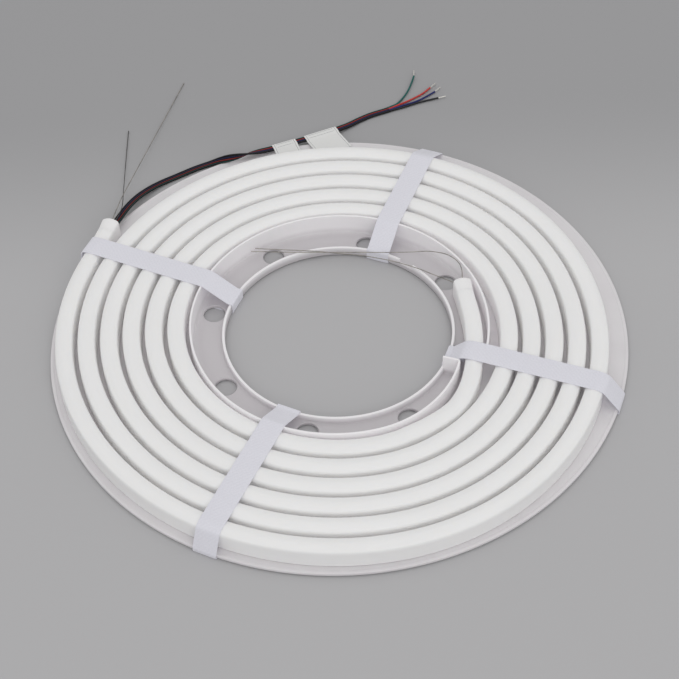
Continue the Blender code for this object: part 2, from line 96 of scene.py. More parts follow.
# %% A socket that can be used in sums
class Value:
    """An output socket of a node tree."""

    def __init__(self, graph, socket):
        self.graph = graph
        self.socket = socket

    def __add__(self, other):
        return self.graph.maths("ADD", self, other)

    def __radd__(self, other):
        return self.graph.maths("ADD", other, self)

    def __sub__(self, other):
        return self.graph.maths("SUBTRACT", self, other)

    def __rsub__(self, other):
        return self.graph.maths("SUBTRACT", other, self)

    def __mul__(self, other):
        return self.graph.maths("MULTIPLY", self, other)

    def __rmul__(self, other):
        return self.graph.maths("MULTIPLY", other, self)

    def __truediv__(self, other):
        return self.graph.maths("DIVIDE", self, other)

    def __gt__(self, other):
        return self.graph.maths("GREATER_THAN", self, other)

    def __lt__(self, other):
        return self.graph.maths("LESS_THAN", self, other)

    def sine(self):
        return self.graph.maths("SINE", self)

    def cosine(self):
        return self.graph.maths("COSINE", self)

    def absolute(self):
        return self.graph.maths("ABSOLUTE", self)

    def fraction(self):
        return self.graph.maths("FRACT", self)

    def rising(self, low, high):
        """0 below low, 1 above high, smooth between them."""
        return self.graph.node("ShaderNodeMapRange", {"interpolation_type": "SMOOTHSTEP"},
                               {"Value": self, "From Min": low, "From Max": high})

    def other(self, name):
        """Another output of the same node."""
        return Value(self.graph, self.socket.node.outputs[name])


class Graph:
    """Writes nodes into a tree."""

    def __init__(self, tree):
        self.tree = tree

    def node(self, kind, settings=None, sockets=None, output=0):
        made = self.tree.nodes.new(kind)
        for key, value in (settings or {}).items():
            setattr(made, key, value)
        for key, value in (sockets or {}).items():
            if isinstance(value, Value):
                self.tree.links.new(value.socket, made.inputs[key])
            else:
                made.inputs[key].default_value = value
        return Value(self, made.outputs[output])

    def maths(self, operation, *terms):
        return self.node("ShaderNodeMath", {"operation": operation}, dict(enumerate(terms)))

    def vector(self, x, y, z):
        return self.node("ShaderNodeCombineXYZ", None, {"X": x, "Y": y, "Z": z})

    def mixed(self, share, first, second):
        """first where share is 0 and second where it is 1, for colours."""
        ends = [c if isinstance(c, Value) else (*c, 1.0) for c in (first, second)]
        return self.node("ShaderNodeMix", {"data_type": "RGBA"},
                         {0: share, 6: ends[0], 7: ends[1]}, output=2)


# %% [markdown]
# ## Finishes
# Every finish starts from the Principled shader. What is the same all over is set on its own
# sockets, and only what changes over the surface is linked: colour, roughness and bump.
# The swept pieces carry the attributes along, across and rise in millimetres, so a weave or
# an extrusion line follows its piece round every bend.


# %% A finish under construction
class Finish(Graph):
    """A material: its Principled shader and the nodes that feed it."""

    def __init__(self, name, colour, roughness, **uniform):
        self.material = bpy.data.materials.new(name)
        self.material.use_nodes = True
        super().__init__(self.material.node_tree)
        self.shader = self.tree.nodes["Principled BSDF"]
        self.shader.inputs["Base Color"].default_value = (*colour, 1.0)
        self.shader.inputs["Roughness"].default_value = roughness
        for key, value in uniform.items():
            self.shader.inputs[key.replace("_", " ")].default_value = value

    def feed(self, socket, value):
        self.tree.links.new(value.socket, self.shader.inputs[socket])

    def attribute(self, name):
        return self.node("ShaderNodeAttribute", {"attribute_name": name}, output="Fac")

    def place(self):
        return self.node("ShaderNodeTexCoord", output="Object")

    def noise(self, where, scale, detail=2.0, roughness=0.5):
        return self.node("ShaderNodeTexNoise", None,
                         {"Vector": where, "Scale": scale, "Detail": detail,
                          "Roughness": roughness})

    def bump(self, height, depth_mm):
        normal = self.node("ShaderNodeBump", None,
                           {"Height": height, "Distance": depth_mm * MM, "Strength": 1.0})
        self.feed("Normal", normal)


# %% [markdown]
# The strip is milky silicone: light goes a little way in, so its shadows stay soft. It comes
# out of a die, which leaves very faint lines along it, and its skin is slightly uneven. The
# caps are filled with a denser silicone, so they are less milky.


# %% Silicone
def silicone(name, light, shade, roughness, milkiness):
    finish = Finish(name, light, roughness, Subsurface_Weight=milkiness,
                    Subsurface_Radius=(1.0, 0.97, 0.92), Subsurface_Scale=0.003,
                    Specular_IOR_Level=0.35)
    along, across, rise = (finish.attribute(key) for key in ("along", "across", "rise"))
    die_lines = finish.noise(finish.vector(across * 3.0, along * 0.01, rise * 3.0), 1.0)
    cloud = finish.noise(finish.vector(across * 0.1, along * 0.02, rise * 0.1), 1.0, 3.0)
    skin = finish.noise(finish.place(), 1400.0, 2.0)
    finish.feed("Base Color", finish.mixed(cloud.rising(0.35, 0.7), light, shade))
    finish.feed("Roughness", roughness - 0.06 + 0.12 * cloud)
    finish.bump(0.7 * die_lines + 0.3 * skin, 0.035)
    return finish.material


SILICONE = silicone("strip_silicone", (0.955, 0.95, 0.946), (0.935, 0.93, 0.925), 0.5, 0.35)
CAP_SILICONE = silicone("cap_silicone", (0.94, 0.928, 0.93), (0.92, 0.906, 0.908), 0.46, 0.08)

# %% [markdown]
# The reel is thin pale moulding plastic with a lilac cast. Its mould was spark-eroded, which
# gives a fine even grain, and the plastic flowed outwards from the middle, which shows as
# very faint streaks. The upright walls are thin enough for light to come through, so painted
# light makes them paler than the floor, and painted shade makes the channel's floor the
# greyest. Object coordinates place all of this, because the reel sits at the origin.


# %% Moulded plastic
def moulded_plastic():
    light, shade = (0.775, 0.753, 0.768), (0.745, 0.723, 0.738)
    # painted shade greys the channel's floor, and painted light brightens the upright walls
    painted_channel_shade, painted_wall_light = (0.62, 0.595, 0.612), (0.97, 0.95, 0.967)
    finish = Finish("reel_plastic", light, 0.42, Subsurface_Weight=0.12,
                    Subsurface_Radius=(1.0, 0.85, 0.95), Subsurface_Scale=0.002,
                    Specular_IOR_Level=0.4)
    place = finish.place()
    parts = finish.node("ShaderNodeSeparateXYZ", None, {"Vector": place}, output="X")
    x, y, z = parts, parts.other("Y"), parts.other("Z")
    angle = finish.maths("ARCTAN2", y, x)
    radius = finish.maths("SQRT", x * x + y * y)
    streaks = finish.noise(finish.vector(angle * 9.0, radius * 12.0, z * 40.0), 1.0, 4.0)
    grain = finish.noise(place, 2600.0, 2.0)
    flange = finish.mixed(streaks.rising(0.35, 0.75), light, shade)
    # painted shade on the channel's floor, then painted light on what stands above the floor
    floor = finish.mixed(radius.rising(92.0 * MM, 99.0 * MM), painted_channel_shade, flange)
    finish.feed("Base Color", finish.mixed(z.rising(2.2 * MM, 8.0 * MM), floor, painted_wall_light))
    finish.feed("Roughness", 0.36 + 0.14 * streaks)
    finish.bump(grain, 0.02)
    return finish.material


REEL_PLASTIC = moulded_plastic()

# %% [markdown]
# The loops are soft nylon tape in a plain weave, a little bluish. Over and under are told
# apart by the sign of two sines, and each thread is round, so the height is the sine's size
# along whichever thread is on top. A loose fuzz breaks up the pattern. Seen from further
# off, the threads merge, and what is left is a blotchy nap and faint slanting ribs.


# %% Woven tape
def woven_tape():
    light, shade = (0.905, 0.90, 0.965), (0.775, 0.77, 0.84)
    pitch_along, pitch_across = 0.46, 0.52
    rib_along, rib_across = 1.9, 2.3
    finish = Finish("strap_tape", light, 0.85, Sheen_Weight=0.35, Sheen_Roughness=0.5,
                    Specular_IOR_Level=0.25)
    along, across = finish.attribute("along"), finish.attribute("across")
    fuzz = finish.noise(finish.vector(across, along, 0.0), 2.2, 3.0)
    pick = (along * (pi / pitch_along) + fuzz * 0.5).sine()
    end = (across * (pi / pitch_across) + fuzz * 0.5).sine()
    warp_on_top = pick * end > 0.0
    weave = warp_on_top * end.absolute() + (1.0 - warp_on_top) * pick.absolute()
    nap = finish.noise(finish.vector(across, along, 0.0), 0.9, 3.0, 0.7)
    ribs = (along * rib_along + across * rib_across).sine() * 0.5 + 0.5
    body = weave * 0.75 + fuzz * 0.25
    tone = body * 0.5 + nap.rising(0.3, 0.7) * 0.38 + ribs * 0.12
    finish.feed("Base Color", finish.mixed(tone, shade, light))
    finish.feed("Roughness", 0.95 - 0.15 * weave)
    finish.bump(body, 0.07)
    return finish.material


STRAP_TAPE = woven_tape()

# %% [markdown]
# The ribbon is four insulated cores side by side. One finish colours them by how far across
# the ribbon a point lies, with painted shade in the crease where two cores meet. Its first
# stretch, beside the cap, gets more painted shade and looks nearly black. The loose ends of
# the cores have a finish each, made by the same function.

# %% Core insulation
CORE_COLOURS = {"green": (0.004, 0.10, 0.088), "red": (0.52, 0.04, 0.035),
                "blue": (0.016, 0.022, 0.13), "black": (0.010, 0.010, 0.012)}
CORE_D = 1.4


def ribbon_insulation():
    finish = Finish("ribbon_insulation", CORE_COLOURS["black"], 0.36, Specular_IOR_Level=0.25)
    across, along = finish.attribute("across"), finish.attribute("along")
    colour = finish.mixed(across > CORE_D, CORE_COLOURS["red"], CORE_COLOURS["green"])
    colour = finish.mixed(across < 0.0, colour, CORE_COLOURS["blue"])
    colour = finish.mixed(across < -CORE_D, colour, CORE_COLOURS["black"])
    # painted shade: the crease where two cores meet goes dark, and the stretch before the twist
    # is darkened further
    away_from_crease = (across * (pi / CORE_D)).sine().absolute()
    lit_after_twist = 0.5 + 0.5 * along.rising(100.0, 150.0)
    colour = finish.mixed(away_from_crease.rising(0.35, 1.3) * lit_after_twist, (0.006, 0.006, 0.008), colour)
    scuffs = finish.noise(finish.vector(across * 2.0, along * 0.15, 0.0), 1.0, 3.0)
    finish.feed("Base Color", colour)
    finish.feed("Roughness", 0.3 + 0.16 * scuffs)
    finish.bump(scuffs, 0.02)
    return finish.material


def core_insulation(name):
    finish = Finish("insulation_" + name, CORE_COLOURS[name], 0.34, Specular_IOR_Level=0.35)
    along, place = finish.attribute("along"), finish.place()
    scuffs = finish.noise(place, 500.0, 3.0)
    dust = finish.noise(finish.vector(along * 0.2, 0.0, 0.0), 1.0, 2.0)
    paler = tuple(min(1.0, c * 1.35 + 0.01) for c in CORE_COLOURS[name])
    finish.feed("Base Color", finish.mixed(dust.rising(0.45, 0.8), CORE_COLOURS[name], paler))
    finish.feed("Roughness", 0.3 + 0.14 * scuffs)
    finish.bump(scuffs, 0.015)
    return finish.material


RIBBON = ribbon_insulation()
CORES = {name: core_insulation(name) for name in CORE_COLOURS}


# %% Metals
def metal(name, bright, dull, roughness):
    """Drawn wire: bright, with duller patches and fine lines along it."""
    finish = Finish(name, bright, roughness, Metallic=1.0)
    along, place = finish.attribute("along"), finish.place()
    patches = finish.noise(finish.vector(along * 0.12, 0.0, 0.0), 1.0, 3.0)
    lines = finish.noise(place, 1800.0, 2.0)
    finish.feed("Base Color", finish.mixed(patches.rising(0.35, 0.7), bright, dull))
    finish.feed("Roughness", roughness - 0.06 + 0.14 * lines)
    return finish.material


TINNED = metal("tinned_strands", (0.86, 0.84, 0.80), (0.66, 0.64, 0.60), 0.3)
STEEL = metal("wire_steel", (0.46, 0.43, 0.39), (0.24, 0.23, 0.215), 0.36)
# painted shade: a darker copy of the same steel, for one wire's darker reflection and the
# shadow along it
STEEL_PAINTED_SHADE = metal("wire_steel_dark", (0.17, 0.165, 0.16), (0.08, 0.08, 0.08), 0.4)

# %% [markdown]
# The labels are plain white film, with the frame line and the few ruled lines that any blank
# cable label has. Each line is a band in the distance along or across the label.


# %% Label film
def label_film(name, length):
    finish = Finish(name, (0.83, 0.83, 0.815), 0.42, Specular_IOR_Level=0.45)
    along, across = finish.attribute("along"), finish.attribute("across")
    ruled = ((across * 0.34).fraction() - 0.5).absolute() < 0.045
    inside = (along > 3.0) * (along < length - 3.0) * (across > -2.6)
    frame_line = ((along - 1.6).absolute() < 0.14) + ((along - length + 1.6).absolute() < 0.14)
    ink = finish.maths("MINIMUM", ruled * inside + frame_line, 1.0)
    mottle = finish.noise(finish.place(), 700.0, 3.0)
    paper = finish.mixed(mottle, (0.83, 0.83, 0.815), (0.79, 0.79, 0.78))
    finish.feed("Base Color", finish.mixed(ink * 0.75, paper, (0.16, 0.165, 0.18)))
    finish.feed("Roughness", 0.36 + 0.14 * mottle)
    finish.bump(mottle, 0.012)
    return finish.material


print("finishes:", len(bpy.data.materials))

# %% [markdown]
# ## Sweeping with Geometry Nodes
# Most pieces are a section carried along a route: the strip, the ribbon, the wires, the
# tape loops and the hub wall. One tree does it for all. It measures the route and the
# section first, so that the finishes know where they are on the piece.


# %% Building a tree
def new_tree(name, inputs):
    """An empty tree with a geometry input and output and further named inputs."""
    tree = bpy.data.node_groups.new(name, "GeometryNodeTree")
    tree.interface.new_socket("Geometry", in_out="INPUT", socket_type="NodeSocketGeometry")
    for key, kind in inputs.items():
        tree.interface.new_socket(key, in_out="INPUT", socket_type="NodeSocket" + kind)
    tree.interface.new_socket("Geometry", in_out="OUTPUT", socket_type="NodeSocketGeometry")
    graph = Graph(tree)
    given = graph.node("NodeGroupInput")
    return graph, given


def finish_tree(graph, geometry, material):
    """End a tree: instances made real, then the finish, then out."""
    real = graph.node("GeometryNodeRealizeInstances", None, {"Geometry": geometry})
    dressed = graph.node("GeometryNodeSetMaterial", None,
                         {"Geometry": real, "Material": material})
    out = graph.tree.nodes.new("NodeGroupOutput")
    graph.tree.links.new(dressed.socket, out.inputs["Geometry"])
    return graph.tree


def stored(graph, geometry, name, value):
    return graph.node("GeometryNodeStoreNamedAttribute", {"data_type": "FLOAT"},
                      {"Geometry": geometry, "Name": name, "Value": value})


def marked_sweep(graph, route, section):
    """Carry a section along a route and keep along, across and rise in millimetres."""
    length = graph.node("GeometryNodeSplineParameter", output="Length")
    route = stored(graph, route, "along", length / MM)
    place = graph.node("GeometryNodeInputPosition")
    x = graph.node("ShaderNodeSeparateXYZ", None, {"Vector": place})
    section = stored(graph, section, "across", x / MM)
    section = stored(graph, section, "rise", x.other("Y") / MM)
    solid = graph.node("GeometryNodeCurveToMesh", None,
                       {"Curve": route, "Profile Curve": section, "Fill Caps": True})
    return graph.node("GeometryNodeSetShadeSmooth", None, {"Geometry": solid})


def sweep_tree():
    graph, given = new_tree("sweep", {"Section": "Object", "Finish": "Material"})
    section = graph.node("GeometryNodeObjectInfo", None, {"Object": given.other("Section")},
                         output="Geometry")
    solid = marked_sweep(graph, given.other("Geometry"), section)
    return finish_tree(graph, solid, given.other("Finish"))


SWEEP = sweep_tree()
print("sweep tree:", len(SWEEP.nodes), "nodes")


# %% Routes, sections and the mesh they give
def polar(r, az, z=0.0):
    return Vector((r * cos(radians(az)), r * sin(radians(az)), z))


def smooth(t):
    t = min(max(t, 0.0), 1.0)
    return t * t * (3 - 2 * t)


def curve_object(name, points, closed=False, tilts=None):
    """A poly curve through points in mm."""
    curve = bpy.data.curves.new(name, "CURVE")
    curve.dimensions = "3D"
    curve.twist_mode = "Z_UP"
    spline = curve.splines.new("POLY")
    spline.points.add(len(points) - 1)
    for i, (point, place) in enumerate(zip(spline.points, points)):
        x, y, *z = place
        point.co = (x * MM, y * MM, (z[0] if z else 0.0) * MM, 1.0)
        point.tilt = radians(180.0 + tilts[i]) if tilts else pi
    spline.use_cyclic_u = closed
    obj = bpy.data.objects.new(name, curve)
    bpy.context.scene.collection.objects.link(obj)
    return obj


def grown(holder, tree, **values):
    """Run a tree on an object and keep the mesh that it gives, under the same name."""
    modifier = holder.modifiers.new("grow", "NODES")
    modifier.node_group = tree
    for item in tree.interface.items_tree:
        if item.in_out == "INPUT" and item.name in values:
            modifier[item.identifier] = values[item.name]
    bpy.context.view_layer.update()
    graph = bpy.context.evaluated_depsgraph_get()
    mesh = bpy.data.meshes.new_from_object(holder.evaluated_get(graph))
    name = holder.name
    bpy.data.objects.remove(holder, do_unlink=True)
    piece = bpy.data.objects.new(name, mesh)
    bpy.context.scene.collection.objects.link(piece)
    return piece


def soften(piece, angle=35.0):
    """Weld the caps on and keep only real edges sharp."""
    bm = bmesh.new()
    bm.from_mesh(piece.data)
    bmesh.ops.remove_doubles(bm, verts=bm.verts, dist=0.000002)
    bmesh.ops.recalc_face_normals(bm, faces=bm.faces)
    bm.to_mesh(piece.data)
    bm.free()
    piece.data.set_sharp_from_angle(angle=radians(angle))
    return piece


def swept(name, route, section, finish, tilts=None, angle=35.0):
    """Carry a closed section along a route: across is to the left of the way it runs."""
    section_object = curve_object(name + "_section", section, closed=True)
    holder = curve_object(name, route, tilts=tilts)
    piece = grown(holder, SWEEP, Section=section_object, Finish=finish)
    bpy.data.objects.remove(section_object, do_unlink=True)
    return soften(piece, angle)


def through(points, step):
    """A smooth curve through the route's points, read every step mm."""
    pts = [Vector(p) for p in points]
    ends = [2 * pts[0] - pts[1]] + pts + [2 * pts[-1] - pts[-2]]
    out = []
    for i in range(1, len(ends) - 2):
        a, b, c, d = ends[i - 1:i + 3]
        n = max(1, ceil((c - b).length / step))
        for k in range(n):
            t = k / n
            out.append(0.5 * ((2 * b) + (c - a) * t + (2 * a - 5 * b + 4 * c - d) * t * t
                              + (3 * b - a - 3 * c + d) * t ** 3))
    out.append(pts[-1])
    return out


def rounded(points, radius, steps=5):
    """A closed outline with each corner turned into a short curve."""
    out = []
    n = len(points)
    for i, corner in enumerate(points):
        size = radius[i] if isinstance(radius, (list, tuple)) else radius
        a, b, c = Vector(points[i - 1]), Vector(corner), Vector(points[(i + 1) % n])
        if size <= 0.0:
            out.append(tuple(b))
            continue
        start = b + (a - b).normalized() * min(size, (a - b).length * 0.48)
        end = b + (c - b).normalized() * min(size, (c - b).length * 0.48)
        for k in range(steps + 1):
            t = k / steps
            out.append(tuple(start * (1 - t) ** 2 + b * 2 * t * (1 - t) + end * t * t))
    return out


def ring(radius, sides):
    return [(radius * cos(2 * pi * k / sides), radius * sin(2 * pi * k / sides))
            for k in range(sides)]


def run_length(points):
    return sum((b - a).length for a, b in zip(points, points[1:]))


def in_metres(points):
    return [tuple(p * MM) for p in points]


def placed(piece, slot, *nodes):
    """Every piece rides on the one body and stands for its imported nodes."""
    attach(piece, "root")
    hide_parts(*nodes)
    return piece


# %% [markdown]
# ## The strip
# The strip is wound clockwise from the hub outwards. Its turns stay nearly round for most
# of a turn and then step out by a strip's width where they cross the slot in the hub, so
# the radius is a slow drift plus a smooth step once a turn. A roll wound by hand is never
# quite round either, so three slow waves, about a millimetre high, go round with it. The
# inner end comes in through the slot and the outer end runs straight. Only the section and
# these few numbers are needed: the sweep does the rest.

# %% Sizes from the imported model
reel_low, reel_high = box_mm("reel")
strip_low, strip_high = box_mm("neon_strip")
STRIP_Z = strip_low.z
STRIP_HEIGHT = strip_high.z - strip_low.z
REEL_Z = reel_low.z
FLANGE_R = (reel_high.x - reel_low.x) / 2
HOLE_R = 76.2
RIM_THICK = 1.8
HUB_THICK = 1.6
CHANNEL_WIDTH = 19.6
COIL_CLEARANCE = 0.9
HUB_MID_R = HOLE_R + RIM_THICK + CHANNEL_WIDTH + HUB_THICK / 2
STRIP_BASE_HALF = 6.0
STRIP_SHOULDER_HALF, STRIP_SHOULDER = 5.85, 12.1
STRIP_TOP_HALF, STRIP_CREASE = 5.3, 13.3
STRIP_SOFTNESS = 0.7
print("strip height", round(STRIP_HEIGHT, 2), "flange radius", round(FLANGE_R, 2))

# %% The strip's centre line
COIL_START_AZ = 300.0
FIRST_TURN_R = HUB_MID_R + HUB_THICK / 2 + COIL_CLEARANCE + STRIP_BASE_HALF
DRIFT_PER_TURN = 5.9
STEP_PER_TURN = 9.0
STEP_FROM, STEP_TO = 285.0, 380.0
STRIP_END_TURNS = 5.395
TURN_POINTS = 140
TAIL_LENGTH = 29.0
BLEND = 0.03
# Each wave is its count in a turn, its height and where its crest lies.
WAVES = [(1, 1.23, 305.2), (2, 0.91, 333.0), (3, 0.37, 43.1)]
# The inner end is a list of directions from the middle and how far inside the hub it lies.
INNER_TAIL = [(15.4, 8.9), (9.05, 9.8), (2.6, 9.6), (-5.1, 8.55), (-13.25, 6.75),
              (-21.1, 3.85), (-28.9, 0.15), (-36.2, -3.6), (-43.3, -6.8), (-50.0, -8.4)]


def coil_radius(turns):
    k = floor(turns)
    u = (turns - k) * 360.0
    steps = smooth((u - STEP_FROM) / (STEP_TO - STEP_FROM))
    steps += smooth((u + 360.0 - STEP_FROM) / (STEP_TO - STEP_FROM)) - 1.0
    az = COIL_START_AZ - u
    wave = sum(size * cos(radians(count * (az - crest))) for count, size, crest in WAVES)
    return FIRST_TURN_R + DRIFT_PER_TURN * turns + STEP_PER_TURN * (k + steps) + wave


def coil_point(turns):
    return polar(coil_radius(turns), COIL_START_AZ - 360.0 * turns, STRIP_Z)


strip_route = [polar(HUB_MID_R - inset, az, STRIP_Z) for az, inset in INNER_TAIL]
strip_route = through(strip_route + [coil_point(0.0), coil_point(BLEND)], 3.5)[:-1]
coil_steps = ceil((STRIP_END_TURNS - BLEND) * TURN_POINTS)
for i in range(coil_steps + 1):
    strip_route.append(coil_point(BLEND + (STRIP_END_TURNS - BLEND) * i / coil_steps))
outer_dir = (strip_route[-1] - coil_point(STRIP_END_TURNS - 1 / 52)).normalized()
for i in range(8):
    strip_route.append(strip_route[-1] + outer_dir * TAIL_LENGTH / 8)
inner_dir = (strip_route[0] - strip_route[1]).normalized()
print("strip length", round(run_length(strip_route)), "mm")


# %% The strip's section and the roll
def strip_section(grow=0.0):
    """Flat base, nearly upright sides, a round shoulder, a fine crease and a low dome."""
    pts = [(-STRIP_BASE_HALF - grow, 0.0), (STRIP_BASE_HALF + grow, 0.0)]
    pts.append((STRIP_SHOULDER_HALF + grow, STRIP_SHOULDER + grow))
    softness = [STRIP_SOFTNESS] * 3
    for k in range(13):
        across = 1 - k / 6
        rise = (STRIP_HEIGHT - STRIP_CREASE) * (1 - across * across)
        pts.append(((STRIP_TOP_HALF + grow) * across, STRIP_CREASE + rise + grow))
        softness.append(0.3 if abs(across) == 1.0 else 0.0)
    pts.append((-STRIP_SHOULDER_HALF - grow, STRIP_SHOULDER + grow))
    return rounded(pts, softness + [STRIP_SOFTNESS], 4)


roll = swept("strip_roll", strip_route, strip_section(), SILICONE)
placed(roll, "strip", "neon_strip")
print("strip faces", len(roll.data.polygons))

# %% [markdown]
# ## The end caps
# Each end is closed by a silicone cap, glued over the strip so that it stands out by half
# a millimetre at most, with a blunt nose. A cap is a loft: the strip's own section, copied
# forwards ring by ring, slowly flaring, then drawn in on both sides towards the nose and
# softened at its top edge. A sweep keeps one section, so the rings are joined by hand here.

# %% Caps
CAP_LENGTH = 9.0
CAP_OVERLAP = 2.0
CAP_PROUD = 0.4
CAP_EDGE = 0.02
CAP_FLARE = 9.0
NOSE_CORNER = 2.4
NOSE_TOP = 1.5


def quarter(t):
    """Height of a quarter circle over its own radius, from 1 at 0 to 0 at 1."""
    return sqrt(max(0.0, 1.0 - min(max(t, 0.0), 1.0) ** 2))


def end_cap(name, start, direction, node):
    side = Vector((-direction.y, direction.x, 0.0))
    places = [-CAP_OVERLAP + (CAP_OVERLAP + CAP_LENGTH) * (1 - (1 - k / 22) ** 1.7)
              for k in range(23)]
    bm = bmesh.new()
    along_layer = bm.verts.layers.float.new("along")
    across_layer = bm.verts.layers.float.new("across")
    rise_layer = bm.verts.layers.float.new("rise")
    rings = []
    half = STRIP_BASE_HALF + CAP_PROUD
    for s in places:
        proud = CAP_EDGE + (CAP_PROUD - CAP_EDGE) * smooth((s + CAP_OVERLAP) / CAP_FLARE)
        inset = NOSE_CORNER * (1.0 - quarter((s - CAP_LENGTH + NOSE_CORNER) / NOSE_CORNER))
        drop = NOSE_TOP * (1.0 - quarter((s - CAP_LENGTH + NOSE_TOP) / NOSE_TOP))
        loop = []
        for x, z in strip_section(proud):
            x *= (half - inset) / half
            z *= 1.0 - drop / STRIP_HEIGHT
            vert = bm.verts.new((start + direction * s + side * x + Vector((0, 0, z))) * MM)
            vert[along_layer], vert[across_layer], vert[rise_layer] = s, x, z
            loop.append(vert)
        rings.append(loop)
    for a, b in zip(rings, rings[1:]):
        for i in range(len(a)):
            j = (i + 1) % len(a)
            bm.faces.new((a[i], a[j], b[j], b[i]))
    bm.faces.new(rings[0][::-1])
    bm.faces.new(rings[-1])
    mesh = bpy.data.meshes.new(name)
    bmesh.ops.recalc_face_normals(bm, faces=bm.faces)
    bm.to_mesh(mesh)
    bm.free()
    mesh.shade_smooth()
    mesh.materials.append(CAP_SILICONE)
    piece = bpy.data.objects.new(name, mesh)
    bpy.context.scene.collection.objects.link(piece)
    return placed(soften(piece, 40.0), "cap", node)


end_cap("outer_cap", strip_route[-1], outer_dir, "outer_end_cap")
end_cap("inner_cap", strip_route[0], inner_dir, "inner_end_cap")
print("caps made at", [round(v) for v in strip_route[-1]], [round(v) for v in strip_route[0]])

# %% [markdown]
# ## The reel
# The flange, its lip and the low rim round the middle are one turned profile. The tall hub
# wall isn't a full ring: it opens at the slot, bends in and ends in a rib that reaches the
# rim, so it is swept like the strip and then joined on. The eight floor holes repeat round
# a ring, which is work for Geometry Nodes: one cutter, instanced on a circle's points.

# %% The turned body
FLANGE_THICK = 1.9
LIP_WIDTH, LIP_RISE = 2.4, 0.3
RIM_TOP = REEL_Z + 6.7
FLOOR_TOP = REEL_Z + FLANGE_THICK
HUB_TOP = reel_high.z


def turned(name, profile, steps):
    bm = bmesh.new()
    verts = [bm.verts.new((r * MM, 0.0, z * MM)) for r, z in profile]
    edges = [bm.edges.new((verts[i - 1], verts[i])) for i in range(len(verts))]
    bmesh.ops.spin(bm, geom=verts + edges, cent=(0, 0, 0), axis=(0, 0, 1), angle=2 * pi,
                   steps=steps, use_merge=True)
    bmesh.ops.remove_doubles(bm, verts=bm.verts, dist=0.000002)
    bmesh.ops.recalc_face_normals(bm, faces=bm.faces)
    mesh = bpy.data.meshes.new(name)
    bm.to_mesh(mesh)
    bm.free()
    mesh.shade_smooth()
    piece = bpy.data.objects.new(name, mesh)
    bpy.context.scene.collection.objects.link(piece)
    return piece


reel_profile = rounded([
    (HOLE_R, RIM_TOP), (HOLE_R + RIM_THICK, RIM_TOP), (HOLE_R + RIM_THICK + 0.3, FLOOR_TOP),
    (FLANGE_R - LIP_WIDTH, FLOOR_TOP), (FLANGE_R - LIP_WIDTH + 0.4, FLOOR_TOP + LIP_RISE),
    (FLANGE_R, FLOOR_TOP + LIP_RISE), (FLANGE_R, REEL_Z), (HOLE_R, REEL_Z)],
    [0.45, 0.45, 1.1, 0.3, 0.15, 0.6, 0.4, 0.4], 4)
reel = turned("reel_body", reel_profile, 320)


# %% The hub wall and its rib
HUB_FREE_AZ = 341.5
HUB_BEND_AZ = 285.0
HUB_RIB_AZ = 332.0
HUB_BEND_IN = 10.2
HUB_FLARE = 2.6
FLARE_FROM_AZ, FLARE_SPAN = 60.0, 76.0


def hub_radius(az):
    """Mid line of the wall: a ring that bends in to the rib and flares at the slot."""
    az = az % 360.0
    if HUB_BEND_AZ < az <= HUB_RIB_AZ + 0.5:
        t = (az - HUB_BEND_AZ) / (HUB_RIB_AZ - HUB_BEND_AZ)
        return HUB_MID_R - HUB_BEND_IN * t ** 1.7
    t = ((FLARE_FROM_AZ - az) % 360.0) / FLARE_SPAN
    return HUB_MID_R + (HUB_FLARE * t ** 3 if t <= 1.2 else 0.0)


def wall_section(base, top):
    """A wall with a rounded top and a small fillet where it stands on the floor."""
    half = HUB_THICK / 2
    root = half + 0.8
    pts = [(-root, base - 0.9), (root, base - 0.9), (root, base), (half, base + 0.9),
           (half - 0.08, top), (-half + 0.08, top), (-half, base + 0.9), (-root, base)]
    return rounded(pts, [0, 0, 0, 0.8, 0.45, 0.45, 0.8, 0], 4)


hub_sweep = 360.0 - HUB_FREE_AZ + HUB_RIB_AZ
hub_route = []
HUB_STEPS = 240
for i in range(HUB_STEPS + 1):
    az = HUB_FREE_AZ + hub_sweep * i / HUB_STEPS
    hub_route.append(polar(hub_radius(az), az))
rib_start = hub_route[-1]
rib_end = polar(HOLE_R + 0.9, HUB_RIB_AZ - 1.2)
corner = rounded([hub_route[-3], rib_start, rib_end], [0, 1.6, 0], 6)
hub_route = hub_route[:-2] + [Vector(p) for p in corner[1:-1]]
hub_route += [rib_start.lerp(rib_end, k / 8) for k in range(2, 9)]
hub_wall = swept("hub_wall", hub_route, wall_section(FLOOR_TOP, HUB_TOP), REEL_PLASTIC)
print("hub wall", round(run_length(hub_route)), "mm round")


# %% Join, notch and cut the floor holes
NOTCH_AZ, NOTCH_SIZE = 50.5, (8.0, 11.0, 6.8)
HOLE_COUNT, FIRST_HOLE_AZ = 8, 29.9
FLOOR_HOLE_R, HOLE_CHAMFER = 7.4, 0.4
HOLE_RING_R = HOLE_R + RIM_THICK + 8.8


def boolean(target, tool, operation):
    modifier = target.modifiers.new(operation.lower(), "BOOLEAN")
    modifier.operation = operation
    modifier.object = tool
    modifier.solver = "MANIFOLD"


